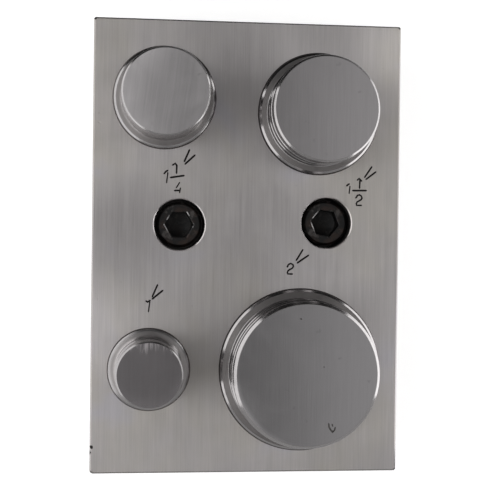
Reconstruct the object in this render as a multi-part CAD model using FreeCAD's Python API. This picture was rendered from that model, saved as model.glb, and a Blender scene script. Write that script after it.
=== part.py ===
import FreeCAD, Part
import math
import os
from FreeCAD import Vector

# Disc cutter for a jeweller's bench: a thick guide plate screwed over a die plate, with a
# spacer strip between them that leaves a slot for sheet metal at the front and at the back.
# Four round punches stand in bores that run through both plates, and cut discs when struck.
# Millimetres. Z is up, the block stands on z = 0, X runs to the right and Y to the back,
# and the origin is under the middle of the block.

# Punches: nominal bore sizes of 1, 1 1/4, 1 1/2 and 2 inch
BORE_1_IN = 25.4
BORE_1_1_4_IN = 31.75
BORE_1_1_2_IN = 38.1
BORE_2_IN = 50.8
PUNCH_LENGTH = 50.8
SHOULDER_RISE = 1.6
SHOULDER_CHAMFER = 0.7
# How much smaller the neck is than the body, on the radius
NECK_STEP_1_IN = 2.45
NECK_STEP_1_1_4_IN = 2.5
NECK_STEP_1_1_2_IN = 2.65
NECK_STEP_2_IN = 2.9
# Chamfer round the struck end
HEAD_CHAMFER_1_IN = 0.45
HEAD_CHAMFER_1_1_4_IN = 0.45
HEAD_CHAMFER_1_1_2_IN = 0.6
HEAD_CHAMFER_2_IN = 0.9
# Radial room of a punch in its bores
PUNCH_CLEARANCE = 0.05

# Plates
GUIDE_THICKNESS = 15.875
DIE_THICKNESS = 17.4625
SHEET_GAP = 1.5875
EDGE_BREAK = 0.5
MOUTH_BREAK = 0.3
CUTTING_LAND = 6.35
LAND_RELIEF = 0.8

# Metal left round the bores of the front pair, 1 inch on the left and 2 inch on the right
FRONT_MARGIN = 7.05
FRONT_LEFT_MARGIN = 5.3
FRONT_WEB = 9.5
FRONT_RIGHT_MARGIN = 6.0
# Metal left round the back pair, 1 1/4 inch on the left and 1 1/2 inch on the right
BACK_MARGIN_1_1_4_IN = 8.575
BACK_MARGIN_1_1_2_IN = 9.4
BACK_LEFT_MARGIN = 6.225
BACK_RIGHT_MARGIN = 7.25
# Solid metal across the middle, between the 2 inch and the 1 1/2 inch bores
MIDDLE_BAND = 36.35

# Socket head cap screws, 3/8 inch
SCREW_DIAMETER = 9.525
SCREW_HEAD_DIAMETER = 14.2875
SCREW_HEAD_HEIGHT = 9.525
SCREW_HEAD_CHAMFER = 0.8
SOCKET_ACROSS_FLATS = 7.9375
SOCKET_DEPTH = 4.8
SOCKET_SIDES = 6
HEAD_RECESS = 2.4
HEAD_CLEARANCE = 0.85
SHANK_CLEARANCE = 0.4
THREAD_CLEARANCE = 0.05
# The tips stop this far above the bench
TIP_RECESS = 0.8
TAP_CHAMFER = 0.6
# Places of the screws, as shares of the block's width and of the middle band's depth
LEFT_SCREW_SHARES = (0.2794, 0.5475)
RIGHT_SCREW_SHARES = (0.7588, 0.5777)
# How far each hex socket happens to be turned about its own axis, in degrees
LEFT_SOCKET_TURN = 0.0
RIGHT_SOCKET_TURN = -9.0

# Spacer strip and the dowel pins that line the bores up
SPACER_WIDTH = 22.225
SPACER_INSET = 1.0
DOWEL_DIAMETER = 6.35
DOWEL_EDGE_DISTANCE = 7.5
DOWEL_ENGAGEMENT = 10.0
DOWEL_CHAMFER = 0.3
DOWEL_RECESS = 0.5
DOWEL_END_ROOM = 0.6
DOWEL_SLIP_CLEARANCE = 0.03
DOWEL_HOLE_CLEARANCE = 0.015
DOWEL_STRIP_CLEARANCE = 0.1

# How far a cutting tool runs past the face that it leaves
OVERRUN = 1.0
FULL_TURN = 360.0
UP = Vector(0, 0, 1)

# Levels
spacer_bottom = DIE_THICKNESS
guide_bottom = spacer_bottom + SHEET_GAP
guide_top = guide_bottom + GUIDE_THICKNESS
counterbore_floor = guide_top - HEAD_RECESS - SCREW_HEAD_HEIGHT

# Plan of the block
block_width = FRONT_LEFT_MARGIN + BORE_1_IN + FRONT_WEB + BORE_2_IN + FRONT_RIGHT_MARGIN
block_depth = FRONT_MARGIN + BORE_2_IN + MIDDLE_BAND + BORE_1_1_2_IN + BACK_MARGIN_1_1_2_IN
left = -block_width / 2
right = block_width / 2
front = -block_depth / 2
back = block_depth / 2
front_row = front + FRONT_MARGIN + BORE_2_IN / 2
band_front = front + FRONT_MARGIN + BORE_2_IN

# Node, bore, step of the neck, chamfer of the struck end and place of each punch
PUNCHES = {
    "punch_1_in": (
        BORE_1_IN,
        NECK_STEP_1_IN,
        HEAD_CHAMFER_1_IN,
        left + FRONT_LEFT_MARGIN + BORE_1_IN / 2,
        front_row,
    ),
    "punch_1_1_4_in": (
        BORE_1_1_4_IN,
        NECK_STEP_1_1_4_IN,
        HEAD_CHAMFER_1_1_4_IN,
        left + BACK_LEFT_MARGIN + BORE_1_1_4_IN / 2,
        back - BACK_MARGIN_1_1_4_IN - BORE_1_1_4_IN / 2,
    ),
    "punch_1_1_2_in": (
        BORE_1_1_2_IN,
        NECK_STEP_1_1_2_IN,
        HEAD_CHAMFER_1_1_2_IN,
        right - BACK_RIGHT_MARGIN - BORE_1_1_2_IN / 2,
        back - BACK_MARGIN_1_1_2_IN - BORE_1_1_2_IN / 2,
    ),
    "punch_2_in": (
        BORE_2_IN,
        NECK_STEP_2_IN,
        HEAD_CHAMFER_2_IN,
        right - FRONT_RIGHT_MARGIN - BORE_2_IN / 2,
        front_row,
    ),
}

# Node, place and turn of the socket of each cap screw
SCREWS = {
    "cap_screw_left": (LEFT_SCREW_SHARES, LEFT_SOCKET_TURN),
    "cap_screw_right": (RIGHT_SCREW_SHARES, RIGHT_SOCKET_TURN),
}


def screw_place(shares):
    """Centre of a screw, from its shares of the block's width and the middle band."""
    across, along = shares
    return left + across * block_width, band_front + along * MIDDLE_BAND


screw_places = [screw_place(shares) for shares, turn in SCREWS.values()]
strip_middle = sum(y for x, y in screw_places) / len(screw_places)

# Node and place of each dowel pin, on the middle line of the spacer strip
DOWELS = {
    "dowel_pin_left": (left + DOWEL_EDGE_DISTANCE, strip_middle),
    "dowel_pin_right": (right - DOWEL_EDGE_DISTANCE, strip_middle),
}


def turned(outline, place):
    """Turns a closed outline of (radius, height) corners about the upright line at place."""
    corners = [Vector(radius, 0, height) for radius, height in outline]
    face = Part.Face(Part.makePolygon(corners + corners[:1]))
    solid = face.revolve(Vector(0, 0, 0), UP, FULL_TURN)
    solid.translate(Vector(place[0], place[1], 0))
    return solid


def plate(width, depth, thickness, bottom, edge_break):
    """A flat plate centred on the origin, with all its outer edges broken."""
    corner = Vector(-width / 2, -depth / 2, bottom)
    solid = Part.makeBox(width, depth, thickness, corner)
    return solid.makeChamfer(edge_break, solid.Edges)


def straight_cutter(radius, bottom, top, place):
    """A plain round hole from one level to another."""
    outline = [(0, bottom), (radius, bottom), (radius, top), (0, top)]
    return turned(outline, place)


def broken_cutter(radius, bottom, top, edge_break, place):
    """A round hole from a level up to a top face, with the edge of its mouth broken."""
    mouth = radius + edge_break + OVERRUN
    outline = [
        (0, bottom),
        (radius, bottom),
        (radius, top - edge_break),
        (mouth, top + OVERRUN),
        (0, top + OVERRUN),
    ]
    return turned(outline, place)


def die_cutter(radius, place):
    """A sharp cutting land at the top of the die plate, then relief down to the bottom."""
    relief = radius + LAND_RELIEF
    land_bottom = DIE_THICKNESS - CUTTING_LAND
    outline = [
        (0, -OVERRUN),
        (relief, -OVERRUN),
        (relief, land_bottom - LAND_RELIEF),
        (radius, land_bottom),
        (radius, DIE_THICKNESS + OVERRUN),
        (0, DIE_THICKNESS + OVERRUN),
    ]
    return turned(outline, place)


def counterbore_cutter(place):
    """Room for a screw's head, and under it for its shank, through the guide plate."""
    head = SCREW_HEAD_DIAMETER / 2 + HEAD_CLEARANCE
    shank = SCREW_DIAMETER / 2 + SHANK_CLEARANCE
    upper = broken_cutter(head, counterbore_floor, guide_top, MOUTH_BREAK, place)
    lower = straight_cutter(shank, guide_bottom - OVERRUN, guide_top, place)
    return upper.fuse(lower)


def guide_plate():
    """The upper plate: four guide bores, two counterbores and two blind dowel sockets."""
    solid = plate(block_width, block_depth, GUIDE_THICKNESS, guide_bottom, EDGE_BREAK)
    for bore, step, chamfer, x, y in PUNCHES.values():
        low = guide_bottom - OVERRUN
        solid = solid.cut(broken_cutter(bore / 2, low, guide_top, MOUTH_BREAK, (x, y)))
    for place in screw_places:
        solid = solid.cut(counterbore_cutter(place))
    socket_radius = DOWEL_DIAMETER / 2 + DOWEL_SLIP_CLEARANCE
    socket_top = guide_bottom + DOWEL_ENGAGEMENT + DOWEL_END_ROOM
    for place in DOWELS.values():
        low = guide_bottom - OVERRUN
        solid = solid.cut(straight_cutter(socket_radius, low, socket_top, place))
    return solid


def die_plate():
    """The lower plate: four die holes, two tapped holes and two dowel holes."""
    solid = plate(block_width, block_depth, DIE_THICKNESS, 0, EDGE_BREAK)
    for bore, step, chamfer, x, y in PUNCHES.values():
        solid = solid.cut(die_cutter(bore / 2, (x, y)))
    thread = SCREW_DIAMETER / 2 + THREAD_CLEARANCE
    for place in screw_places:
        solid = solid.cut(broken_cutter(thread, -OVERRUN, DIE_THICKNESS, TAP_CHAMFER, place))
    hole = DOWEL_DIAMETER / 2 + DOWEL_HOLE_CLEARANCE
    for place in DOWELS.values():
        solid = solid.cut(straight_cutter(hole, -OVERRUN, DIE_THICKNESS + OVERRUN, place))
    return solid


def spacer_strip():
    """The strip across the middle that holds the plates apart by the sheet gap."""
    length = block_width - 2 * SPACER_INSET
    corner = Vector(-length / 2, strip_middle - SPACER_WIDTH / 2, spacer_bottom)
    solid = Part.makeBox(length, SPACER_WIDTH, SHEET_GAP, corner)
    low = spacer_bottom - OVERRUN
    high = guide_bottom + OVERRUN
    for place in screw_places:
        radius = SCREW_DIAMETER / 2 + SHANK_CLEARANCE
        solid = solid.cut(straight_cutter(radius, low, high, place))
    for place in DOWELS.values():
        radius = DOWEL_DIAMETER / 2 + DOWEL_STRIP_CLEARANCE
        solid = solid.cut(straight_cutter(radius, low, high, place))
    return solid


def dowel_pin(place):
    """A hardened pin pressed into the die plate, with a lead at its top for the guide plate."""
    radius = DOWEL_DIAMETER / 2
    bottom = DOWEL_RECESS
    top = guide_bottom + DOWEL_ENGAGEMENT
    outline = [
        (0, bottom),
        (radius, bottom),
        (radius, top - DOWEL_CHAMFER),
        (radius - DOWEL_CHAMFER, top),
        (0, top),
    ]
    return turned(outline, place)


def punch(bore, step, chamfer, place):
    """A punch on the bench: sharp lower edge, body, low shoulder, neck and chamfered top."""
    body = bore / 2 - PUNCH_CLEARANCE
    neck = body - step
    shoulder = guide_top + SHOULDER_RISE
    outline = [
        (0, 0),
        (body, 0),
        (body, shoulder - SHOULDER_CHAMFER),
        (body - SHOULDER_CHAMFER, shoulder),
        (neck, shoulder),
        (neck, PUNCH_LENGTH - chamfer),
        (neck - chamfer, PUNCH_LENGTH),
        (0, PUNCH_LENGTH),
    ]
    return turned(outline, place)


def hex_socket_cutter(place, turn, top):
    """A flat-bottomed hexagonal socket, open at the top of a screw's head."""
    corner = SOCKET_ACROSS_FLATS / 2 / math.cos(math.pi / SOCKET_SIDES)
    floor = top - SOCKET_DEPTH
    angles = [2 * math.pi * side / SOCKET_SIDES for side in range(SOCKET_SIDES + 1)]
    ring = [Vector(corner * math.cos(a), corner * math.sin(a), floor) for a in angles]
    prism = Part.Face(Part.makePolygon(ring)).extrude(UP * (SOCKET_DEPTH + OVERRUN))
    prism.rotate(Vector(0, 0, 0), UP, turn)
    prism.translate(Vector(place[0], place[1], 0))
    return prism


def cap_screw(place, turn):
    """A socket head cap screw seated in its counterbore, with its shank in the die plate."""
    radius = SCREW_DIAMETER / 2
    head = SCREW_HEAD_DIAMETER / 2
    top = counterbore_floor + SCREW_HEAD_HEIGHT
    outline = [
        (0, TIP_RECESS),
        (radius, TIP_RECESS),
        (radius, counterbore_floor),
        (head, counterbore_floor),
        (head, top - SCREW_HEAD_CHAMFER),
        (head - SCREW_HEAD_CHAMFER, top),
        (0, top),
    ]
    return turned(outline, place).cut(hex_socket_cutter(place, turn, top))


def main():
    """Builds every piece and writes each to its own file."""
    parts = {
        "guide_plate": guide_plate(),
        "die_plate": die_plate(),
        "spacer_strip": spacer_strip(),
    }
    for node, (bore, step, chamfer, x, y) in PUNCHES.items():
        parts[node] = punch(bore, step, chamfer, (x, y))
    for node, (shares, turn) in SCREWS.items():
        parts[node] = cap_screw(screw_place(shares), turn)
    for node, place in DOWELS.items():
        parts[node] = dowel_pin(place)
    os.makedirs("parts", exist_ok=True)
    for node, shape in parts.items():
        shape.exportStep(f"parts/{node}.step")
        print(f"{node}: {shape.Volume:.0f} mm3, valid {shape.isValid()}, {len(shape.Solids)} solid")


main()
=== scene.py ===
import math

import bmesh
import bpy
from mathutils import Matrix, Vector

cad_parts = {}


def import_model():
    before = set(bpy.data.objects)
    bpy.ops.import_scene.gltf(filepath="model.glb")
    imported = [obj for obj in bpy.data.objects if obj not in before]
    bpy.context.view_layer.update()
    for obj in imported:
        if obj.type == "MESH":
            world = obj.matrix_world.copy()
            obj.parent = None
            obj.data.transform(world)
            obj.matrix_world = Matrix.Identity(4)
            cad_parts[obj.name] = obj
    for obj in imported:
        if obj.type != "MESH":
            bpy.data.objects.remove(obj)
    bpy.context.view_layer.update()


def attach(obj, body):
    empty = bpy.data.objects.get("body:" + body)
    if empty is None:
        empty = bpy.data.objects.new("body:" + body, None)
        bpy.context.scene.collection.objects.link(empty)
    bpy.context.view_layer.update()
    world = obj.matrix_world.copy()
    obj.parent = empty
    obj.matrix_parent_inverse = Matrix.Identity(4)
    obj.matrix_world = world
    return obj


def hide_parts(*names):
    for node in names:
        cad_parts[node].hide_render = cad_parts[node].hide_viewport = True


# Looks of a jeweller's disc cutter. Sizes are millimetres, and MM turns them into metres.
MM = 0.001

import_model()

# Block
BLOCK = (97.0, 141.7)
DIE_THICKNESS = 17.4625
GAP = 1.5875
GUIDE_THICKNESS = 15.875
GUIDE_BOTTOM = DIE_THICKNESS + GAP
GUIDE_TOP = GUIDE_BOTTOM + GUIDE_THICKNESS
EDGE_BREAK = 0.5
CORNER_ROUND = 1.1
MOUTH_BREAK = 0.3
HOLE_BREAK = 0.3
THREAD_BREAK = 0.6
CUTTING_LAND = 6.35
LAND_RELIEF = 0.8
# How far a cutter runs past the faces that it opens
PAST = 1.0

# Bore, step of the neck, chamfer of the head and place of each punch
PUNCHES = {
    "1_in": (25.4, 2.45, 0.45, (-30.5, -38.4)),
    "1_1_4_in": (31.75, 2.5, 0.45, (-26.4, 46.4)),
    "1_1_2_in": (38.1, 2.65, 0.6, (22.2, 42.4)),
    "2_in": (50.8, 2.9, 0.9, (17.1, -38.4)),
}
# How far each shoulder falls outwards, and the fillet where it meets the neck
SHOULDERS = {"1_in": (0.25, 1.2), "1_1_4_in": (0.25, 1.1), "1_1_2_in": (0.1, 0.5), "2_in": (0.12, 0.5)}
PUNCH_LENGTH = 50.8
PUNCH_CLEARANCE = 0.05
SHOULDER_RISE = 1.6
SHOULDER_CHAMFER = 0.7
# Where the root ends and the head starts on each neck, over the shoulder
ROOT_END = 2.0
HEAD_START = 12.0
# Ridges that turning left round each neck: heights over the shoulder, then half width and rise
NECK_RIDGES = {"1_in": (6.0,), "1_1_4_in": (), "1_1_2_in": (4.4, 9.4), "2_in": (5.7, 10.5)}
NECK_RIDGE = (0.2, 0.23)

# Place and turn of the socket of each cap screw
SCREWS = {
    "left": ((-21.3982, 6.901625), 0.0),
    "right": ((25.1036, 7.999395), -9.0),
}
SHANK_RADIUS = 4.7625
HEAD_RADIUS = 7.14375
HEAD_HEIGHT = 9.525
HEAD_SINK = 2.4
HEAD_TOP = GUIDE_TOP - HEAD_SINK
HEAD_BOTTOM = HEAD_TOP - HEAD_HEIGHT
HEAD_ROOM = 0.85
SHANK_ROOM = 0.4
THREAD_ROOM = 0.05
COUNTERBORE_RADIUS = HEAD_RADIUS + HEAD_ROOM
SHANK_HOLE_RADIUS = SHANK_RADIUS + SHANK_ROOM
TAP_RADIUS = SHANK_RADIUS + THREAD_ROOM
KNURLS = 60
KNURL_DEPTH = 0.16
SOCKET_FLAT = 7.9375 / 2
SOCKET_DEPTH = 4.8
DRILL_POINT = 2.2
THREAD_PITCH = 1.5875
THREAD_DEPTH = 0.86
TIP = 0.8
TIP_CHAMFER = 1.1
# Chamfers of the head's rim and of its socket: across, down
HEAD_CHAMFER = (0.8, 0.9)
SOCKET_CHAMFER = (0.36, 0.16)

# Spacer strip and dowel pins
STRIP_WIDTH = 22.225
STRIP_INSET = 1.0
STRIP_BREAK = 0.12
STRIP_Y = sum(place[1] for place, turn in SCREWS.values()) / 2
DOWEL_RADIUS = 3.175
DOWEL_CHAMFER = 0.3
DOWEL_BOTTOM = 0.5
DOWELS = {"left": (-41.0, STRIP_Y), "right": (41.0, STRIP_Y)}
DOWEL_TOP = GUIDE_BOTTOM + 10.0
# Room round the pins in the guide plate, the die plate and the strip
GUIDE_ROOM = 0.03
DIE_ROOM = 0.015
STRIP_ROOM = 0.1

# Hand-stamped size marks on the guide plate, each a list of strokes: points, half width, depth
TICK = (0.3, 0.42)
LINE = (0.28, 0.38)
FAINT = (0.22, 0.2)
STAMPS = [
    ([(-18.57, 30.17), (-20.06, 26.64)], TICK),
    ([(-16.86, 28.61), (-19.78, 25.87)], TICK),
    ([(-23.66, 25.48), (-22.89, 25.96), (-22.41, 25.28)], TICK),
    ([(-22.41, 25.4), (-22.48, 22.97)], LINE),
    ([(-26.31, 22.75), (-25.78, 23.38), (-25.29, 23.67)], LINE),
    ([(-25.2, 23.0), (-25.56, 19.92)], FAINT),
    ([(-24.27, 21.54), (-20.22, 22.2)], TICK),
    ([(-21.51, 20.0), (-22.49, 18.39)], FAINT),
    ([(-22.98, 17.5), (-21.39, 17.56)], LINE),
    ([(-21.24, 18.28), (-21.44, 16.87)], FAINT),
    ([(39.47, 26.0), (37.28, 22.75)], LINE),
    ([(40.78, 24.43), (37.77, 22.12)], LINE),
    ([(34.96, 21.81), (35.53, 22.33), (36.26, 21.52)], LINE),
    ([(35.76, 21.99), (35.64, 19.28)], LINE),
    ([(31.53, 19.94), (32.2, 20.49)], LINE),
    ([(32.53, 19.71), (32.3, 17.54)], FAINT),
    ([(33.52, 18.42), (37.75, 18.49)], TICK),
    (
        [(34.52, 16.15), (35.02, 16.89), (35.63, 17.12), (36.22, 16.72), (36.49, 16.09), (36.24, 15.61),
         (35.5, 15.18), (34.86, 14.79), (34.64, 14.25), (34.8, 13.77), (36.26, 13.76)],
        LINE,
    ),
    ([(17.62, -0.6), (15.65, -3.87)], LINE),
    ([(19.44, -2.32), (16.01, -4.69)], TICK),
    (
        [(12.77, -5.99), (13.18, -5.23), (13.81, -4.94), (14.52, -5.24), (14.72, -5.84), (14.34, -6.45),
         (13.61, -6.8), (13.04, -7.22), (12.79, -7.76), (12.99, -8.23), (14.36, -8.25)],
        LINE,
    ),
    ([(-28.03, -12.04), (-29.57, -15.64)], LINE),
    ([(-26.42, -13.78), (-29.53, -16.36)], TICK),
    ([(-31.45, -17.09), (-31.04, -17.37), (-30.3, -16.89)], TICK),
    ([(-30.36, -17.3), (-30.73, -20.36)], FAINT),
]
# Shallow dings in the guide plate and nicks in its edge: place, radii along X and Y, depth
DINGS = [
    ((-46.52, 41.2), (0.36, 0.4), 0.06),
    ((-46.65, 38.31), (0.4, 0.45), 0.08),
    ((-46.37, -16.53), (0.32, 0.3), 0.08),
    ((-46.5, -37.2), (0.28, 0.25), 0.06),
]
NICKS = [((-48.15, -62.4), (0.6, 0.6), 0.55), ((-48.4, -64.25), (0.45, 0.85), 0.6)]
# Pits and a worn ding on top of the 2 inch punch
TOP_PITS = [
    ((14.87, -21.33), (0.28, 0.28), 0.12),
    ((22.08, -35.84), (0.25, 0.25), 0.03),
    ((24.95, -55.45), (0.44, 0.36), 0.1),
]
TOP_DINGS = [
    ([(23.76, -53.1), (23.85, -54.0), (24.35, -54.9), (24.95, -55.55)], (0.27, 0.12)),
    ([(25.75, -54.2), (25.6, -54.9), (25.1, -55.5)], (0.24, 0.08)),
    ([(24.8, -53.2), (24.98, -53.8)], (0.2, 0.05)),
]

collection = bpy.context.scene.collection


# Node trees


class Tree:
    """Short calls for building one node tree."""

    def __init__(self, owner):
        owner.use_nodes = True
        self.tree = owner.node_tree
        self.tree.nodes.clear()

    def add(self, kind, inputs=None, **settings):
        """A new node. An input is a plain value or another node's output socket."""
        node = self.tree.nodes.new(kind)
        for key, value in settings.items():
            setattr(node, key, value)
        for key, value in (inputs or {}).items():
            if isinstance(value, bpy.types.NodeSocket):
                self.tree.links.new(value, node.inputs[key])
            else:
                node.inputs[key].default_value = value
        return node

    def math(self, operation, a, b=0.0):
        return self.add("ShaderNodeMath", {0: a, 1: b}, operation=operation).outputs[0]

    def noise(self, vector, scale, detail=3.0, roughness=0.55, distortion=0.0):
        inputs = {"Vector": vector, "Scale": scale, "Detail": detail, "Roughness": roughness,
                  "Distortion": distortion}
        return self.add("ShaderNodeTexNoise", inputs).outputs["Fac"]

    def line_noise(self, position, detail):
        """Noise along one number, for rings and bands."""
        inputs = {"W": position, "Scale": 1.0, "Detail": detail, "Roughness": 0.6}
        return self.add("ShaderNodeTexNoise", inputs, noise_dimensions="1D").outputs["Fac"]

    def stretched(self, vector, scale, turn=(0.0, 0.0, 0.0), shift=(0.0, 0.0, 0.0)):
        inputs = {"Vector": vector, "Scale": scale, "Rotation": turn, "Location": shift}
        return self.add("ShaderNodeMapping", inputs).outputs[0]

    def span(self, value, low, high, out_low=0.0, out_high=1.0, smooth=True):
        """Maps a range of values on to another, clamped at both ends."""
        inputs = {"Value": value, "From Min": low, "From Max": high, "To Min": out_low, "To Max": out_high}
        kind = "SMOOTHSTEP" if smooth else "LINEAR"
        return self.add("ShaderNodeMapRange", inputs, interpolation_type=kind).outputs["Result"]

    def reach(self, place, x, y, z):
        """How far a place is from a point, which is given in millimetres."""
        inputs = {0: place, 1: (x * MM, y * MM, z * MM)}
        return self.add("ShaderNodeVectorMath", inputs, operation="DISTANCE").outputs["Value"]

    def mix_colour(self, share, a, b):
        node = self.add("ShaderNodeMix", data_type="RGBA", blend_type="MIX")
        for key, value in (("Factor_Float", share), ("A_Color", a), ("B_Color", b)):
            socket = next(s for s in node.inputs if s.identifier == key)
            if isinstance(value, bpy.types.NodeSocket):
                self.tree.links.new(value, socket)
            elif key == "Factor_Float":
                socket.default_value = value
            else:
                socket.default_value = (*value, 1.0)
        return next(s for s in node.outputs if s.identifier == "Result_Color")

    def mix_vector(self, share, a, b):
        node = self.add("ShaderNodeMix", data_type="VECTOR")
        for key, value in (("Factor_Float", share), ("A_Vector", a), ("B_Vector", b)):
            socket = next(s for s in node.inputs if s.identifier == key)
            self.tree.links.new(value, socket)
        return next(s for s in node.outputs if s.identifier == "Result_Vector")

    def bump(self, height, strength, distance):
        inputs = {"Height": height, "Strength": strength, "Distance": distance}
        return self.add("ShaderNodeBump", inputs).outputs[0]

    def scaled_colour(self, colour, factor):
        """A colour times a number that varies over the surface."""
        node = self.add("ShaderNodeVectorMath", {0: colour, "Scale": factor}, operation="SCALE")
        return node.outputs[0]

    def across(self, grain):
        """The direction in the surface that crosses its grain."""
        normal = self.add("ShaderNodeNewGeometry").outputs["Normal"]
        return self.add("ShaderNodeVectorMath", {0: grain, 1: normal}, operation="CROSS_PRODUCT").outputs[0]

    def metal(self, colour, roughness, normal, metallic=1.0, grain=None, anisotropic=0.0, glance=1.0):
        """Metal that spreads its reflections across its grain. glance is the share of light kept at a
        grazing angle."""
        inputs = {"Base Color": colour, "Roughness": roughness, "Normal": normal, "Metallic": metallic,
                  "Anisotropic": anisotropic, "Specular Tint": (glance, glance, glance, 1.0)}
        if grain is not None:
            inputs["Tangent"] = self.across(grain)
        shader = self.add("ShaderNodeBsdfPrincipled", inputs)
        self.add("ShaderNodeOutputMaterial", {"Surface": shader.outputs[0]})


def ground_metal(name, tone, roughness, anisotropic=0.8, painted_shade_and_light=()):
    """Surface-ground steel, with its grain along Y, or along X on the faces that look along Y.
    The last argument gives painted shade and painted light: soft darker places, or lighter ones where the
    share is below zero, each (x, y, radius, share of the tone lost)."""
    material = bpy.data.materials.new(name)
    t = Tree(material)
    where = t.add("ShaderNodeTexCoord")
    place = where.outputs["Object"]
    facing = t.add("ShaderNodeSeparateXYZ", {0: where.outputs["Normal"]}).outputs["Y"]
    end_face = t.span(t.math("ABSOLUTE", facing), 0.55, 0.65)

    def streaks(across, along, detail, roughness):
        lengthways = t.stretched(place, (across, along, across))
        crossways = t.stretched(place, (along, across, across))
        return t.noise(t.mix_vector(end_face, lengthways, crossways), 1.0, detail, roughness)

    fine = streaks(2600.0, 45.0, 3.0, 0.7)
    broad = streaks(420.0, 11.0, 2.0, 0.5)
    blotch = t.noise(place, 38.0, 3.0, 0.55, 0.4)
    stain = t.noise(t.stretched(place, (1.0, 0.7, 1.0), shift=(0.31, 0.17, 0.05)), 26.0, 4.0, 0.6)
    speck = t.noise(place, 900.0, 2.0, 0.6)
    level = t.span(fine, 0.3, 0.7, 0.925, 1.075, False)
    level = t.math("ADD", level, t.span(broad, 0.32, 0.68, -0.03, 0.03, False))
    level = t.math("ADD", level, t.span(blotch, 0.35, 0.65, -0.04, 0.04))
    level = t.math("MULTIPLY", level, t.span(speck, 0.68, 0.82, 1.0, 0.9))
    # Painted shade and painted light: the tone falls round darker places and rises round lighter ones.
    for x, y, radius, lost in painted_shade_and_light:
        away = t.reach(place, x, y, GUIDE_TOP)
        level = t.math("MULTIPLY", level, t.span(away, 0.0, radius * MM, 1.0 - lost, 1.0))
    warm = t.span(stain, 0.42, 0.62)
    colour = t.mix_colour(warm, tone, (tone[0] * 0.985, tone[1] * 0.98, tone[2] * 0.93))
    cold = t.span(blotch, 0.56, 0.72)
    colour = t.mix_colour(cold, colour, (tone[0] * 0.975, tone[1] * 0.985, tone[2] * 1.03))
    rough = t.math("ADD", roughness, t.span(fine, 0.3, 0.7, -0.05, 0.05, False))
    rough = t.math("ADD", rough, t.span(stain, 0.4, 0.65, -0.03, 0.05))
    height = t.math("ADD", fine, t.math("MULTIPLY", broad, 0.6))
    normal = t.bump(height, 0.3, 0.00003)
    along_y, along_x = (t.add("ShaderNodeCombineXYZ", {"X": x, "Y": 1.0 - x}).outputs[0] for x in (0.0, 1.0))
    grain = t.mix_vector(end_face, along_y, along_x)
    t.metal(t.scaled_colour(colour, level), rough, normal, 1.0, grain, anisotropic)
    return material


def turned_metal(name, tone, roughness, anisotropic=0.87, glance=1.0):
    """Turned and polished steel: fine rings round the Z axis and smudges. glance is the share of light
    kept at a grazing angle."""
    material = bpy.data.materials.new(name)
    t = Tree(material)
    place = t.add("ShaderNodeTexCoord").outputs["Object"]
    x, y, z = t.add("ShaderNodeSeparateXYZ", {0: place}).outputs
    radius = t.math("SQRT", t.math("ADD", t.math("MULTIPLY", x, x), t.math("MULTIPLY", y, y)))
    travel = t.math("ADD", t.math("MULTIPLY", radius, 0.83), z)
    rings = t.line_noise(t.math("MULTIPLY", travel, 5200.0), detail=3.0)
    bands = t.line_noise(t.math("MULTIPLY", travel, 620.0), detail=2.0)
    smudge = t.noise(place, 120.0, 4.0, 0.6, 0.5)
    level = t.span(rings, 0.3, 0.7, 0.95, 1.05, False)
    level = t.math("ADD", level, t.span(bands, 0.3, 0.7, -0.05, 0.05, False))
    level = t.math("ADD", level, t.span(smudge, 0.4, 0.7, 0.02, -0.05))
    rough = t.math("ADD", roughness, t.span(rings, 0.3, 0.7, -0.03, 0.05, False))
    rough = t.math("ADD", rough, t.span(smudge, 0.5, 0.75, 0.0, 0.1))
    normal = t.bump(t.math("ADD", rings, bands), 0.2, 0.00002)
    around = t.add("ShaderNodeTangent", direction_type="RADIAL", axis="Z").outputs[0]
    t.metal(t.scaled_colour(tone, level), rough, normal, 1.0, around, anisotropic, glance)
    return material


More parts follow.
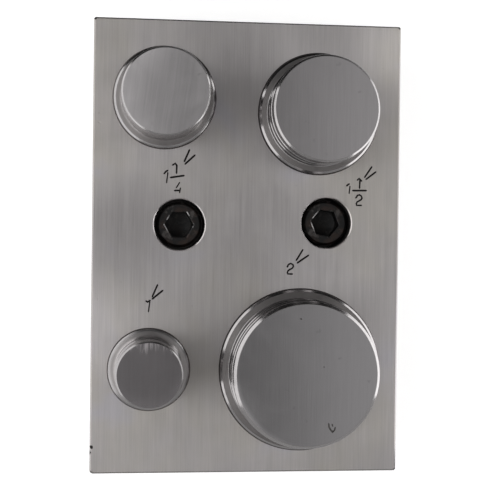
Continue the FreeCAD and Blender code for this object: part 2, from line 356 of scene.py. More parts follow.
def struck_metal(name, tone, roughness, streaks=0.0, angle=0.0, hatch=None, painted_light_crescent=()):
    """The flat top of a punch: polished, brushed or scuffed. hatch is a height along Y, in mm, above
    which short light scratches cross the edge. The last argument paints light on one side, a lighter and
    rougher crescent: the centre that it is turned away from, the distances from there where it starts and
    ends, and the share added."""
    material = bpy.data.materials.new(name)
    t = Tree(material)
    place = t.add("ShaderNodeTexCoord").outputs["Object"]
    turned = t.stretched(place, (1.0, 1.0, 1.0), (0.0, 0.0, angle))
    brushed = t.noise(t.stretched(turned, (900.0, 30.0, 1.0)), 1.0, 3.0, 0.6)
    hair = t.noise(t.stretched(turned, (4200.0, 60.0, 1.0)), 1.0, 2.0, 0.6)
    cloud = t.noise(place, 55.0, 3.0, 0.5, 0.6)
    spots = t.noise(place, 260.0, 2.0, 0.5)
    level = t.span(brushed, 0.3, 0.7, 1.0 - streaks, 1.0 + streaks, False)
    level = t.math("ADD", level, t.span(hair, 0.3, 0.7, -0.03, 0.03, False))
    level = t.math("ADD", level, t.span(cloud, 0.35, 0.7, -0.03, 0.04))
    level = t.math("MULTIPLY", level, t.span(spots, 0.7, 0.78, 1.0, 0.86))
    rough = t.math("ADD", roughness, t.span(cloud, 0.4, 0.7, -0.02, 0.05))
    if hatch is not None:
        height = t.add("ShaderNodeSeparateXYZ", {0: place}).outputs["Y"]
        scratch = t.noise(t.stretched(place, (1300.0, 90.0, 1.0), (0.0, 0.0, 0.1)), 1.0, 2.0, 0.6)
        ragged = t.noise(t.stretched(place, (800.0, 60.0, 1.0)), 1.0, 2.0, 0.6)
        height = t.math("ADD", height, t.span(ragged, 0.3, 0.7, -1.8 * MM, 1.8 * MM, False))
        fade = t.math("MULTIPLY", t.span(height, hatch * MM, (hatch + 3.4) * MM), t.span(scratch, 0.4, 0.6))
        level = t.math("MULTIPLY", level, t.math("ADD", 1.0, t.math("MULTIPLY", fade, 1.1)))
        rough = t.math("ADD", rough, t.math("MULTIPLY", fade, 0.2))
    normal = t.bump(t.math("ADD", brushed, hair), 0.12 + 0.6 * streaks, 0.00002)
    if painted_light_crescent:
        x, y, inner, outer, gain = painted_light_crescent
        away = t.reach(place, x, y, PUNCH_LENGTH)
        # Painted light: a lighter, slightly rougher crescent on one side of the top.
        worn = t.math("MULTIPLY", t.span(away, inner * MM, outer * MM), t.span(cloud, 0.3, 0.6, 0.6, 1.0))
        level = t.math("ADD", level, t.math("MULTIPLY", worn, gain))
        rough = t.math("ADD", rough, t.math("MULTIPLY", worn, 0.12))
    t.metal(t.scaled_colour(tone, level), rough, normal)
    return material


def black_oxide(name, depth=1.0, rubbed_and_glints=()):
    """Oily black oxide with a brown cast. depth scales its tone, and the last argument gives places round
    which it is worn through to bright steel, put where glints fall, so partly wear and partly a painted
    glint: (x, y, radius)."""
    material = bpy.data.materials.new(name)
    t = Tree(material)
    place = t.add("ShaderNodeTexCoord").outputs["Object"]
    grime = t.noise(place, 420.0, 4.0, 0.65, 0.3)
    rust = t.noise(place, 230.0, 3.0, 0.6, 0.6)
    pores = t.noise(place, 2600.0, 2.0, 0.6)
    oily, brown, dusty = ([depth * c for c in tone] for tone in
                          ((0.0095, 0.009, 0.009), (0.028, 0.018, 0.0145), (0.066, 0.06, 0.057)))
    colour = t.mix_colour(t.span(rust, 0.45, 0.65), oily, brown)
    colour = t.mix_colour(t.span(grime, 0.53, 0.68), colour, dusty)
    rough = t.span(grime, 0.3, 0.7, 0.34, 0.56, False)
    if rubbed_and_glints:
        near = 0.0
        for x, y, radius in rubbed_and_glints:
            away = t.reach(place, x, y, HEAD_TOP)
            near = t.math("MAXIMUM", near, t.span(away, 0.5 * radius * MM, radius * MM, 1.0, 0.0))
        bare_and_glint = t.math("MULTIPLY", near, t.span(t.noise(place, 420.0, 2.0, 0.5), 0.34, 0.48))
        colour = t.mix_colour(bare_and_glint, colour, (0.34, 0.33, 0.33))
    normal = t.bump(t.math("ADD", pores, grime), 0.45, 0.0001)
    t.metal(colour, rough, normal, metallic=0.55)
    return material


def stamped_fill(name):
    """Dark grime that fills stamped strokes and pits."""
    material = bpy.data.materials.new(name)
    t = Tree(material)
    place = t.add("ShaderNodeTexCoord").outputs["Object"]
    crumbs = t.noise(place, 3200.0, 3.0, 0.6)
    colour = t.mix_colour(t.span(crumbs, 0.4, 0.7), (0.009, 0.008, 0.0075), (0.035, 0.031, 0.03))
    t.metal(colour, t.span(crumbs, 0.3, 0.7, 0.6, 0.85), t.bump(crumbs, 0.5, 0.00004), metallic=0.2)
    return material


# Painted shade and painted light on the guide plate, soft darker and lighter places: x, y, radius, share of
# the tone lost, below zero where lighter
PAINTED_SHADE_AND_LIGHT = [
    (-4.0, 47.0, 26.0, 0.33),
    (-13.0, -36.0, 20.0, 0.26),
    (-2.0, 2.0, 44.0, 0.21),
    (-10.0, 69.0, 34.0, 0.2),
    (47.0, 66.0, 26.0, -0.32),
    (-47.0, -27.0, 24.0, -0.24),
    (-38.0, 4.0, 26.0, 0.26),
    (26.0, 68.0, 18.0, 0.1),
    (44.0, -40.0, 26.0, -0.1),
    (-44.0, 68.0, 14.0, 0.14),
]
PLATE = ground_metal("ground_steel_plate", (0.46, 0.437, 0.435), 0.38, 0.85, PAINTED_SHADE_AND_LIGHT)
EDGE = ground_metal("ground_steel_edge", (0.3, 0.286, 0.284), 0.25, 0.0)
# The counterbores' mouth breaks get a lighter steel than the plate: a painted highlight round each
# counterbore.
RIM_PAINTED_HIGHLIGHT = ground_metal("ground_steel_rim_painted_highlight", (0.62, 0.59, 0.588), 0.3, 0.0)
MOUTH = ground_metal("ground_steel_mouth", (0.42, 0.4, 0.398), 0.27, 0.0)
DIE = ground_metal("ground_steel_die", (0.42, 0.4, 0.398), 0.45)
STRIP = ground_metal("ground_steel_strip", (0.38, 0.366, 0.362), 0.45)
# The walls of bores, holes and pits are far darker than the plate: painted shade inside them.
BORED_PAINTED_SHADE = turned_metal("bored_steel_painted_shade", (0.1, 0.094, 0.091), 0.45, 0.5)
TURNED = turned_metal("turned_steel", (0.5, 0.481, 0.483), 0.27, 0.8, 0.72)
SMOOTH = turned_metal("turned_smooth_steel", (0.36, 0.346, 0.348), 0.25, 0.5, 0.55)
POLISHED = turned_metal("polished_steel", (0.36, 0.346, 0.347), 0.19, 0.4)
EASED = turned_metal("eased_steel", (0.31, 0.299, 0.3), 0.29, 0.4)
EASED_BRIGHT = turned_metal("eased_bright_steel", (0.34, 0.328, 0.329), 0.23, 0.4)
SHOULDER = turned_metal("turned_shoulder", (0.34, 0.322, 0.318), 0.55)
FACED = turned_metal("faced_shoulder", (0.405, 0.385, 0.382), 0.38)
DOWEL = turned_metal("dowel_steel", (0.55, 0.533, 0.535), 0.22)
OXIDE = black_oxide("black_oxide_steel")
# The socket is a darker copy of the oxide: painted shade in it.
SOCKET_PAINTED_SHADE = black_oxide("black_oxide_socket_painted_shade", 0.35)
# Bright worn steel on the socket rims, put where glints fall on the left edges and a few vertices: partly
# wear, partly a painted glint.
RUBBED_AND_GLINTS = {
    "left": black_oxide("black_oxide_rubbed_glint_left", 1.0,
                        [(-4.5, 0.4, 3.4), (4.6, -0.2, 0.9), (2.9, 3.5, 1.0)]),
    "right": black_oxide("black_oxide_rubbed_glint_right", 1.0, [(-4.3, 0.9, 4.0)]),
}
STAMP = stamped_fill("stamped_grime")
SIDES = {"1_in": TURNED, "1_1_4_in": TURNED, "1_1_2_in": SMOOTH, "2_in": SMOOTH}
SHOULDER_FACES = {"1_in": FACED, "1_1_4_in": SHOULDER, "1_1_2_in": SHOULDER, "2_in": SHOULDER}
CHAMFERS = {"1_in": EASED, "1_1_4_in": EASED_BRIGHT, "1_1_2_in": POLISHED, "2_in": POLISHED}
# Three tops get a painted light crescent on one side.
TOPS = {
    "1_in": struck_metal("punch_top_1_in", (0.213, 0.2, 0.205), 0.22, 0.04, hatch=6.6,
                         painted_light_crescent=(0.0, 6.0, 10.5, 16.5, 0.2)),
    "1_1_4_in": struck_metal("punch_top_1_1_4_in", (0.51, 0.49, 0.495), 0.18, 0.05, 0.12,
                             painted_light_crescent=(8.0, -2.0, 10.0, 22.0, 0.34)),
    "1_1_2_in": struck_metal("punch_top_1_1_2_in", (0.395, 0.378, 0.383), 0.14, 0.02),
    "2_in": struck_metal("punch_top_2_in", (0.35, 0.338, 0.344), 0.12, 0.012,
                         painted_light_crescent=(2.5, 1.8, 22.8, 25.5, 0.55)),
}


# Shapes


def shown(name, mesh, materials, origin=(0.0, 0.0)):
    """An object for a mesh in millimetres round an upright line at origin."""
    mesh.transform(Matrix.Scale(MM, 4))
    for material in materials:
        mesh.materials.append(material)
    piece = bpy.data.objects.new(name, mesh)
    piece.location = (origin[0] * MM, origin[1] * MM, 0.0)
    collection.objects.link(piece)
    return piece


def finished(bm, name):
    """The mesh that a bmesh has built. It ends the bmesh."""
    mesh = bpy.data.meshes.new(name)
    bm.to_mesh(mesh)
    bm.free()
    return mesh


def joined(bm, low, high):
    """Faces between two closed rings of vertices."""
    for i in range(len(low)):
        j = (i + 1) % len(low)
        bm.faces.new((low[i], low[j], high[j], high[i]))


def sharpened(mesh, degrees=30.0):
    """Smooth shading, apart from edges that turn by more than this angle."""
    bm = bmesh.new()
    bm.from_mesh(mesh)
    for face in bm.faces:
        face.smooth = True
    for edge in bm.edges:
        edge.smooth = len(edge.link_faces) == 2 and edge.calc_face_angle(0.0) < math.radians(degrees)
    bm.to_mesh(mesh)
    bm.free()


def eased(outline, radius, steps=3, reach=0.4):
    """Rounds the corners of an open outline of (r, z) points, with a support point each side. reach is
    the most of a side that one corner may take."""
    points = [Vector(p) for p in outline]
    out = [points[0]]
    for before, corner, after in zip(points, points[1:], points[2:]):
        back, on = before - corner, after - corner
        turn = back.angle(on)
        if turn > math.radians(172):
            out.append(corner)
            continue
        cut = min(radius / math.tan(turn / 2), reach * back.length, reach * on.length)
        start, end = corner + back.normalized() * cut, corner + on.normalized() * cut
        guard = min(0.12, 0.3 * back.length, 0.3 * on.length)
        out.append(start + back.normalized() * guard)
        for step in range(steps + 1):
            share = step / steps
            out.append(start.lerp(corner, share).lerp(corner.lerp(end, share), share))
        out.append(end + on.normalized() * guard)
    out.append(points[-1])
    return out


def lathe(outline, segments, indices=None):
    """A closed mesh turned from an outline that starts and ends on the axis. indices gives the
    material index of the face that follows each point."""
    bm = bmesh.new()
    rings = []
    for r, z in outline:
        if r < 1e-6:
            rings.append([bm.verts.new((0.0, 0.0, z))])
        else:
            turns = (2 * math.pi * i / segments for i in range(segments))
            rings.append([bm.verts.new((r * math.cos(a), r * math.sin(a), z)) for a in turns])
    for n, (low, high) in enumerate(zip(rings, rings[1:])):
        for i in range(segments):
            j = (i + 1) % segments
            if len(low) == 1:
                corners = (low[0], high[j], high[i])
            elif len(high) == 1:
                corners = (low[i], low[j], high[0])
            else:
                corners = (low[i], low[j], high[j], high[i])
            face = bm.faces.new(corners)
            face.material_index = indices[n] if indices else 0
    bmesh.ops.recalc_face_normals(bm, faces=bm.faces)
    return finished(bm, "lathe")


def block(size, bottom, top, edge_break, y=0.0, edge=0, worn=0.0):
    """A block with its edges broken, and with its front left corner worn round if worn gives a
    radius. edge is the material index of the breaks."""
    plan = []
    for n, (side, end) in enumerate(((1, 1), (-1, 1), (-1, -1), (1, -1))):
        radius, steps = (worn, 4) if worn and n == 2 else (edge_break, 1)
        for step in range(steps + 1):
            a = (n + step / steps) * math.pi / 2
            corner = Vector((side * (size[0] / 2 - radius), end * (size[1] / 2 - radius)))
            plan.append((corner + radius * Vector((math.cos(a), math.sin(a))), (side, end)))
    bm = bmesh.new()
    rings = []
    levels = ((bottom, edge_break), (bottom + edge_break, 0.0), (top - edge_break, 0.0), (top, edge_break))
    for z, inset in levels:
        rings.append([bm.verts.new((p.x - side * inset, p.y - end * inset + y, z))
                      for p, (side, end) in plan])
    for low, high in zip(rings, rings[1:]):
        joined(bm, low, high)
    bm.faces.new(rings[0][::-1])
    bm.faces.new(rings[-1])
    bm.normal_update()
    for face in bm.faces:
        face.material_index = edge if max(abs(c) for c in face.normal) < 0.99 else 0
    return finished(bm, "block")


def stroke(points, half_width, depth, top, index):
    """A V-shaped groove that follows a line of points, with pointed ends, to be cut from a top face."""
    line = [Vector(p) for p in points]
    first, last = (line[0] - line[1]).normalized(), (line[-1] - line[-2]).normalized()
    line = [line[0] + first * half_width] + line + [line[-1] + last * half_width]
    rise = 0.05
    bm = bmesh.new()
    sections = []
    for n, point in enumerate(line):
        ways = [(b - a).normalized() for a, b in ((line[n - 1], point), (point, line[(n + 1) % len(line)]))
                if (b - a).length > 1e-9]
        way = ways[1] if n == 0 else ways[0] if n == len(line) - 1 else (ways[0] + ways[1]).normalized()
        size = 0.35 if n in (0, len(line) - 1) else 1.0
        side = Vector((-way.y, way.x)) * half_width * size * (1 + rise / depth)
        corners = [(point.x + side.x, point.y + side.y, top + rise), (point.x, point.y, top - depth * size),
                   (point.x - side.x, point.y - side.y, top + rise)]
        sections.append([bm.verts.new(c) for c in corners])
    for a, b in zip(sections, sections[1:]):
        joined(bm, a, b)
    bm.faces.new(sections[0])
    bm.faces.new(sections[-1][::-1])
    for face in bm.faces:
        face.material_index = index
    bmesh.ops.recalc_face_normals(bm, faces=bm.faces)
    return finished(bm, "stroke")


def pit(place, radii, depth, top, seed, index):
    """A small uneven dent, to be cut from a top face."""
    sides = 9
    bm = bmesh.new()
    rim, ring = [], []
    for i in range(sides):
        a = 2 * math.pi * i / sides
        uneven = 1.0 + 0.3 * math.sin(2.3 * a + seed) + 0.18 * math.sin(5.1 * a + 2 * seed)
        way = Vector((radii[0] * uneven * math.cos(a), radii[1] * uneven * math.sin(a)))
        for share, z, points in ((1.15, top + 0.05, rim), (0.6, top - depth * 0.8, ring)):
            points.append(bm.verts.new((place[0] + share * way.x, place[1] + share * way.y, z)))
    tip = bm.verts.new((place[0], place[1], top - depth))
    bm.faces.new(rim)
    for i in range(sides):
        j = (i + 1) % sides
        bm.faces.new((rim[i], rim[j], ring[j], ring[i]))
        bm.faces.new((ring[i], ring[j], tip))
    for face in bm.faces:
        face.material_index = index
    bmesh.ops.recalc_face_normals(bm, faces=bm.faces)
    return finished(bm, "pit")


def carved(mesh, cutters, materials):
    """The mesh less its cutters. Each cutter is (mesh, place), and leaves its own faces' materials."""
    body = bpy.data.objects.new("body", mesh)
    collection.objects.link(body)
    tools = bpy.data.collections.new("cutters")
    collection.children.link(tools)
    made = [body]
    for item in (mesh, *(cutter for cutter, place in cutters)):
        for material in materials:
            item.materials.append(material)
    for cutter, place in cutters:
        tool = bpy.data.objects.new("tool", cutter)
        tool.location = (place[0], place[1], 0.0)
        tools.objects.link(tool)
        made.append(tool)
    cut = body.modifiers.new("cut", "BOOLEAN")
    cut.operation = "DIFFERENCE"
    cut.solver = "EXACT"
    cut.operand_type = "COLLECTION"
    cut.collection = tools
    cut.material_mode = "TRANSFER"
    bpy.context.view_layer.update()
    result = bpy.data.meshes.new_from_object(body.evaluated_get(bpy.context.evaluated_depsgraph_get()))
    for item in made:
        bpy.data.objects.remove(item)
    bpy.data.collections.remove(tools)
    found = [result.materials[face.material_index].name for face in result.polygons]
    result.materials.clear()
    names = [material.name for material in materials]
    for face, name in zip(result.polygons, found):
        face.material_index = names.index(name)
    sharpened(result, 12.0)
    return result


def placed(name, mesh, materials, body, node, origin=(0.0, 0.0)):
    """Puts a finished piece in place of its CAD node, on the body that carries it."""
    piece = shown(name, mesh, materials, origin)
    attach(piece, body)
    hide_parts(node)


def guide_plate():
    """The plate that guides the punches, with its bores, counterbores, stamps and wear."""
    materials = [PLATE, STAMP, EDGE, BORED_PAINTED_SHADE, RIM_PAINTED_HIGHLIGHT, MOUTH]
    plate, stamp, edge, shaded_bore, rim, mouth = range(len(materials))
    below, above = GUIDE_BOTTOM - PAST, GUIDE_TOP + PAST
    cutters = []
    for bore, step, chamfer, place in PUNCHES.values():
        r, far = bore / 2, bore / 2 + MOUTH_BREAK + PAST
        outline = [(0, below), (r, below), (r, GUIDE_TOP - MOUTH_BREAK), (far, above), (0, above)]
        cutters.append((lathe(outline, 192, (plate, shaded_bore, mouth, plate)), place))
    for place, turn in SCREWS.values():
        r, far = COUNTERBORE_RADIUS, COUNTERBORE_RADIUS + MOUTH_BREAK + PAST
        outline = [(0, below), (SHANK_HOLE_RADIUS, below), (SHANK_HOLE_RADIUS, HEAD_BOTTOM),
                   (r, HEAD_BOTTOM), (r, GUIDE_TOP - MOUTH_BREAK), (far, above), (0, above)]
        # The counterbore's mouth break takes the lighter rim steel, a painted highlight.
        cutters.append((lathe(outline, 96, (plate, shaded_bore, shaded_bore, shaded_bore, rim, plate)), place))
    for place in DOWELS.values():
        r = DOWEL_RADIUS + GUIDE_ROOM
        outline = [(0, below), (r, below), (r, DOWEL_TOP + 0.6), (0, DOWEL_TOP + 1.4)]
        cutters.append((lathe(outline, 48, (plate, shaded_bore, shaded_bore)), place))
    for points, (half_width, depth) in STAMPS:
        cutters.append((stroke(points, half_width, depth, GUIDE_TOP, stamp), (0, 0)))
    for index, dents in ((plate, DINGS), (stamp, NICKS)):
        for n, (place, radii, depth) in enumerate(dents):
            cutters.append((pit(place, radii, depth, GUIDE_TOP, 1.7 * n + 2.2 * index, index), (0, 0)))
    solid = block(BLOCK, GUIDE_BOTTOM, GUIDE_TOP, EDGE_BREAK, edge=edge, worn=CORNER_ROUND)
    mesh = carved(solid, cutters, materials)
    placed("guide_plate_ground", mesh, materials, "guide", "guide_plate")


def die_plate():
    """The plate with the cutting edges, which are sharp above and relieved below."""
    materials = [DIE, BORED_PAINTED_SHADE, EDGE]
    die, shaded_bore, edge = range(len(materials))
    above = DIE_THICKNESS + PAST
    land = DIE_THICKNESS - CUTTING_LAND
    cutters = []
    for bore, step, chamfer, place in PUNCHES.values():
        r, relief = bore / 2, bore / 2 + LAND_RELIEF
        outline = [(0, -PAST), (relief + HOLE_BREAK + PAST, -PAST), (relief, HOLE_BREAK),
                   (relief, land - LAND_RELIEF), (r, land), (r, above), (0, above)]
        cutters.append((lathe(outline, 192, (die, edge, shaded_bore, shaded_bore, die, die)), place))
    for place, turn in SCREWS.values():
        far = TAP_RADIUS + THREAD_BREAK + PAST
        outline = [(0, -PAST), (far, -PAST), (TAP_RADIUS, THREAD_BREAK),
                   (TAP_RADIUS, DIE_THICKNESS - THREAD_BREAK), (far, above), (0, above)]
        cutters.append((lathe(outline, 72, (die, edge, shaded_bore, edge, die)), place))
    for place in DOWELS.values():
        r = DOWEL_RADIUS + DIE_ROOM
        outline = [(0, -PAST), (r + HOLE_BREAK + PAST, -PAST), (r, HOLE_BREAK), (r, above), (0, above)]
        cutters.append((lathe(outline, 48, (die, edge, shaded_bore, die)), place))
    mesh = carved(block(BLOCK, 0.0, DIE_THICKNESS, EDGE_BREAK, edge=edge), cutters, materials)
    placed("die_plate_ground", mesh, materials, "die_set", "die_plate")


def spacer_strip():
    """The strip that keeps the slot for sheet metal open."""
    below, above = DIE_THICKNESS - PAST, GUIDE_BOTTOM + PAST
    cutters = []
    holes = [(place, SHANK_HOLE_RADIUS) for place, turn in SCREWS.values()]
    holes += [(place, DOWEL_RADIUS + STRIP_ROOM) for place in DOWELS.values()]
    for place, r in holes:
        cutters.append((lathe([(0, below), (r, below), (r, above), (0, above)], 64), place))
    size = (BLOCK[0] - 2 * STRIP_INSET, STRIP_WIDTH)
    solid = block(size, DIE_THICKNESS, GUIDE_BOTTOM, STRIP_BREAK, STRIP_Y)
    mesh = carved(solid, cutters, [STRIP])
    placed("spacer_strip_ground", mesh, [STRIP], "die_set", "spacer_strip")


def punch(size):
    """A turned punch, with its shoulder, root, ridges and struck head."""
    bore, step, chamfer, place = PUNCHES[size]
    fall, fillet = SHOULDERS[size]
    body = bore / 2 - PUNCH_CLEARANCE
    neck = body - step
    shoulder = GUIDE_TOP + SHOULDER_RISE
    rim = (body - SHOULDER_CHAMFER, shoulder - fall)
    sides = eased([(body - 1.2, 0.0), (body, 0.0), (body, shoulder - SHOULDER_CHAMFER), rim], 0.3)
    root = eased([rim, (neck, shoulder), (neck, shoulder + ROOT_END)], fillet, steps=6, reach=0.75)
    head = eased([(neck, shoulder + HEAD_START), (neck, PUNCH_LENGTH - chamfer),
                  (neck - chamfer, PUNCH_LENGTH), (neck - chamfer - 1.5, PUNCH_LENGTH)], 0.3 * chamfer)
    half_width, high = NECK_RIDGE
    ridges = []
    for height in NECK_RIDGES[size]:
        for dr, dz in ((0.0, -half_width), (high, 0.0), (0.0, half_width)):
            ridges.append(Vector((neck + dr, shoulder + height + dz)))
    outline = [Vector((0.0, 0.0)), *sides, *root[1:], *ridges, *head, Vector((0.0, PUNCH_LENGTH))]
    materials = [SIDES[size], TOPS[size], SHOULDER_FACES[size], CHAMFERS[size]]
    side, top, flat, slope, marked = range(5)
    indices = []
    for a, b in zip(outline, outline[1:]):
        steepness = abs(b.y - a.y) / (b - a).length
        broad_root = fillet > 1.0 and shoulder - fall - 0.02 <= a.y <= shoulder + ROOT_END
        if min(a.y, b.y) > PUNCH_LENGTH - 1e-4:
            indices.append(top)
        elif a.y < GUIDE_TOP or steepness >= 0.8:
            indices.append(side)
        else:
            indices.append(flat if steepness < 0.2 or broad_root else slope)
    mesh = lathe(outline, 288, indices)
    if size == "2_in":
        # The pits and dings on top take the dark bore steel: painted shade in them.
        materials.append(BORED_PAINTED_SHADE)
        back = (-place[0], -place[1])
        cutters = [(pit(spot, radii, deep, PUNCH_LENGTH, 1.3 + n, marked), back)
                   for n, (spot, radii, deep) in enumerate(TOP_PITS)]
        for points, (half_width, deep) in TOP_DINGS:
            cutters.append((stroke(points, half_width, deep, PUNCH_LENGTH, marked), back))
        mesh = carved(mesh, cutters, materials)
    else:
        sharpened(mesh)
    placed(f"punch_{size}_turned", mesh, materials, f"punch_{size}_body", f"punch_{size}",
           place)


def screw_head(turn, materials):
    """Knurled head with a chamfered top, less its hexagonal socket."""
    across, down = HEAD_CHAMFER
    outline = eased([(HEAD_RADIUS - 1.0, HEAD_BOTTOM), (HEAD_RADIUS, HEAD_BOTTOM),
                     (HEAD_RADIUS, HEAD_TOP - down), (HEAD_RADIUS - across, HEAD_TOP),
                     (HEAD_RADIUS - across - 1.0, HEAD_TOP)], 0.2)
    outline = [Vector((0.0, HEAD_BOTTOM)), *outline, Vector((0.0, HEAD_TOP))]
    mesh = lathe(outline, 4 * KNURLS)
    for vert in mesh.vertices:
        r = math.hypot(vert.co.x, vert.co.y)
        if r > HEAD_RADIUS - 0.05 and HEAD_BOTTOM + 0.8 < vert.co.z < HEAD_TOP - 0.8:
            phase = math.atan2(vert.co.y, vert.co.x) * KNURLS / (2 * math.pi) % 1.0
            vert.co.xy *= 1.0 - KNURL_DEPTH / HEAD_RADIUS * (0.5 - 0.5 * math.cos(2 * math.pi * phase))
    oxide, socket, rubbed_and_glints = range(len(materials))
    corner = SOCKET_FLAT / math.cos(math.pi / 6)
    bottom, above = HEAD_TOP - SOCKET_DEPTH, HEAD_TOP + PAST
    across, down = SOCKET_CHAMFER
    far = corner + across * (PAST + down) / down
    outline = [(0, bottom), (corner, bottom), (corner, HEAD_TOP - down), (far, above), (0, above)]
    # The socket's walls and floor take the darker oxide, painted shade.
    hexagon = lathe(outline, 6, (socket, socket, rubbed_and_glints, oxide))
    hexagon.transform(Matrix.Rotation(math.radians(turn), 4, "Z"))
    outline = [(0, bottom - DRILL_POINT), (SOCKET_FLAT, bottom + 0.05), (0, bottom + 0.05)]
    drill = lathe(outline, 48, (socket, socket))
    return carved(mesh, [(hexagon, (0, 0)), (drill, (0, 0))], materials)


def screw_shank():
    """Helical thread from under the head to the chamfered tip."""
    around, per_pitch = 48, 8
    rows = int((HEAD_BOTTOM - TIP) / THREAD_PITCH * per_pitch)
    bm = bmesh.new()
    grid = []
    for row in range(rows + 1):
        z = TIP + (HEAD_BOTTOM - TIP) * row / rows
        ring = []
        for i in range(around):
            a = 2 * math.pi * i / around
            wave = abs(((z - TIP) / THREAD_PITCH - i / around) % 1.0 - 0.5) * 2
            cut = THREAD_DEPTH * min(max((wave - 0.1) / 0.75, 0.0), 1.0)
            cut *= min(1.0, max(0.0, (HEAD_BOTTOM - 1.2 - z) / 0.8))
            r = min(SHANK_RADIUS - cut, SHANK_RADIUS - TIP_CHAMFER + (z - TIP))
            ring.append(bm.verts.new((r * math.cos(a), r * math.sin(a), z)))
        grid.append(ring)
    for low, high in zip(grid, grid[1:]):
        joined(bm, low, high)
    bm.faces.new(grid[0][::-1])
    mesh = finished(bm, "shank")
    sharpened(mesh, 50.0)
    return mesh


def cap_screw(side):
    """A socket head cap screw. Its materials are those that screw_head names."""
    place, turn = SCREWS[side]
    materials = [OXIDE, SOCKET_PAINTED_SHADE, RUBBED_AND_GLINTS[side]]
    bm = bmesh.new()
    bm.from_mesh(screw_head(turn, materials))
    bm.from_mesh(screw_shank())
    mesh = finished(bm, "cap_screw")
    placed(f"cap_screw_{side}_black", mesh, materials, f"screw_{side}", f"cap_screw_{side}",
           place)


def dowel_pin(side):
    """A pin with chamfered ends."""
    end = DOWEL_RADIUS - DOWEL_CHAMFER
    outline = eased([(0.0, DOWEL_BOTTOM), (end, DOWEL_BOTTOM), (DOWEL_RADIUS, DOWEL_BOTTOM + DOWEL_CHAMFER),
                     (DOWEL_RADIUS, DOWEL_TOP - DOWEL_CHAMFER), (end, DOWEL_TOP), (0.0, DOWEL_TOP)], 0.08)
    mesh = lathe(outline, 64)
    sharpened(mesh, 60.0)
    placed(f"dowel_pin_{side}_ground", mesh, [DOWEL], "die_set", f"dowel_pin_{side}",
           DOWELS[side])


guide_plate()
die_plate()
spacer_strip()
for name in PUNCHES:
    punch(name)
for name in SCREWS:
    cap_screw(name)
for name in DOWELS:
    dowel_pin(name)


# Studio

# The camera that was fitted to the photo: its place in millimetres, where it looks and its right
CAMERA_PLACE = (-36.37, 2.05, 377.6)
CAMERA_AHEAD = (0.108, -0.0083, -0.9941)
CAMERA_RIGHT = (0.9941, 0.0119, 0.1079)
CAMERA_LENS = 78.9
WHITE = (1.0, 1.0, 1.0, 1.0)
FLOOR_RADIUS = 4000.0
FLOOR_GLOW = 0.62


def seen(t):
    """1 for rays from the camera, and for those that metal or glass sends on."""
    path = t.add("ShaderNodeLightPath")
    glints = t.math("ADD", path.outputs["Is Glossy Ray"], path.outputs["Is Transmission Ray"])
    return path.outputs["Is Camera Ray"], t.math("MINIMUM", glints, 1.0)


def floor():
    """A pale floor that looks white, keeps a soft shadow of the object and doesn't glow under the block."""
    material = bpy.data.materials.new("pale_floor")
    t = Tree(material)
    camera, glints = seen(t)
    place = t.add("ShaderNodeTexCoord").outputs["Object"]
    x, y = t.add("ShaderNodeSeparateXYZ", {0: place}).outputs[:2]
    beside, before = (t.span(t.math("ABSOLUTE", along), (size / 2 - 4.0) * MM, (size / 2 - 1.0) * MM)
                      for along, size in zip((x, y), BLOCK))
    glowing = t.math("MULTIPLY", t.math("MAXIMUM", beside, before), FLOOR_GLOW)
    matt = t.add("ShaderNodeBsdfDiffuse", {"Color": (0.8, 0.8, 0.8, 1.0)})
    glow = t.add("ShaderNodeEmission", {"Color": WHITE, "Strength": glowing})
    both = t.add("ShaderNodeAddShader", {0: matt.outputs[0], 1: glow.outputs[0]})
    share = t.math("MINIMUM", t.math("ADD", camera, glints), 1.0)
    surface = t.add("ShaderNodeMixShader", {0: share, 1: matt.outputs[0], 2: both.outputs[0]})
    t.add("ShaderNodeOutputMaterial", {"Surface": surface.outputs[0]})
    bm = bmesh.new()
    bmesh.ops.create_circle(bm, cap_ends=True, segments=96, radius=FLOOR_RADIUS)
    shown("studio_floor", finished(bm, "floor"), [material])


def card(name, start, end, rise, grey):
    """A card that stands beside the object, with an apron on the floor, which only reflections see.
    start and end are angles and distances, and rise is its height over its distance."""
    material = bpy.data.materials.new(name)
    t = Tree(material)
    dull = t.add("ShaderNodeEmission", {"Color": (grey, grey, grey, 1.0), "Strength": 1.0})
    t.add("ShaderNodeOutputMaterial", {"Surface": dull.outputs[0]})
    bm = bmesh.new()
    steps = 24
    columns = []
    for step in range(steps + 1):
        angle, radius = Vector(start).lerp(Vector(end), step / steps)
        a = math.radians(angle)
        corners = ((0.9 * radius, 0.5), (radius, 0.5), (radius, rise * radius))
        columns.append([bm.verts.new((r * math.cos(a), r * math.sin(a), z)) for r, z in corners])
    for before, after in zip(columns, columns[1:]):
        for i in range(2):
            bm.faces.new((before[i], after[i], after[i + 1], before[i + 1]))
    piece = shown(name, finished(bm, name), [material])
    piece.visible_camera = False
    piece.visible_diffuse = False
    piece.visible_shadow = False


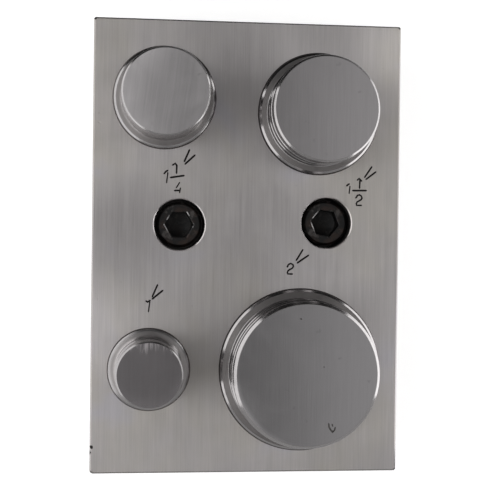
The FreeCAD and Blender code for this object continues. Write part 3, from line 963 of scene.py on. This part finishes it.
def world():
    """Grey walls, darker behind the object, a light ceiling with a dimmer band, and white to the
    camera."""
    sky = bpy.data.worlds.new("studio")
    bpy.context.scene.world = sky
    t = Tree(sky)
    ray = t.add("ShaderNodeTexCoord").outputs["Generated"]
    x, y, z = t.add("ShaderNodeSeparateXYZ", {0: ray}).outputs
    walls = t.math("MULTIPLY", t.span(y, -0.7, -0.3, 0.4, 0.5), t.span(y, 0.4, 0.75, 1.0, 0.14))
    band = t.math("ABSOLUTE", t.math("SUBTRACT", x, 0.085))
    ceiling = t.math("MULTIPLY", t.span(band, 0.0, 0.15, 0.27, 0.64), t.span(y, 0.1, 0.6, 1.0, 0.3))
    sides = t.math("MULTIPLY", t.span(x, -0.45, -0.15, 1.35, 1.0), t.span(x, 0.25, 0.5, 1.0, 0.75))
    ceiling = t.math("MULTIPLY", ceiling, sides)
    high = t.span(z, 0.35, 0.75)
    level = t.math("ADD", walls, t.math("MULTIPLY", high, t.math("SUBTRACT", ceiling, walls)))
    studio = t.add("ShaderNodeBackground", {"Color": WHITE, "Strength": level})
    white = t.add("ShaderNodeBackground", {"Color": WHITE, "Strength": 1.0})
    camera, glints = seen(t)
    low = t.math("MULTIPLY", glints, t.span(z, 0.02, 0.08, 1.0, 0.0))
    share = t.math("MAXIMUM", camera, low)
    both = t.add("ShaderNodeMixShader", {0: share, 1: studio.outputs[0], 2: white.outputs[0]})
    t.add("ShaderNodeOutputWorld", {"Surface": both.outputs[0]})


def panel(name, azimuth, distance, width, height, radiance):
    """A soft light panel that stands on the floor, faces the object and isn't reflected. Lengths are
    metres."""
    data = bpy.data.lights.new(name, "AREA")
    data.shape = "RECTANGLE"
    data.size, data.size_y = width, height
    data.energy = radiance * math.pi * width * height
    lamp = bpy.data.objects.new(name, data)
    a = math.radians(azimuth)
    place = Vector((distance * math.cos(a), distance * math.sin(a), height / 2))
    lamp.location = place
    lamp.rotation_euler = Vector((-place.x, -place.y, 0.0)).to_track_quat("-Z", "Y").to_euler()
    lamp.visible_camera = False
    lamp.visible_glossy = False
    collection.objects.link(lamp)


def camera():
    """The camera of the photo."""
    data = bpy.data.cameras.new("camera")
    data.sensor_width = 36.0
    data.lens = CAMERA_LENS
    data.clip_start = 0.01
    data.clip_end = 20.0
    eye = bpy.data.objects.new("camera", data)
    ahead = Vector(CAMERA_AHEAD).normalized()
    right = Vector(CAMERA_RIGHT)
    right = (right - ahead * right.dot(ahead)).normalized()
    turned = Matrix((right, right.cross(ahead), -ahead)).transposed().to_4x4()
    eye.matrix_world = Matrix.Translation(Vector(CAMERA_PLACE) * MM) @ turned
    collection.objects.link(eye)
    bpy.context.scene.camera = eye


floor()
card("dark_card_behind", (38.0, 295.0), (132.0, 160.0), 0.69, 0.02)
card("grey_card_in_front", (225.0, 213.0), (328.0, 152.0), 0.37, 0.52)
card("white_card_left", (132.0, 160.0), (225.0, 213.0), 1.2, 1.7)
card("white_card_right", (-32.0, 152.0), (38.0, 295.0), 0.7, 2.5)
world()
panel("panel_left", 181.0, 0.75, 1.3, 0.8, 1.4)
panel("panel_right", 5.0, 0.75, 0.85, 0.45, 1.4)
camera()
bpy.context.scene.view_settings.view_transform = "Standard"
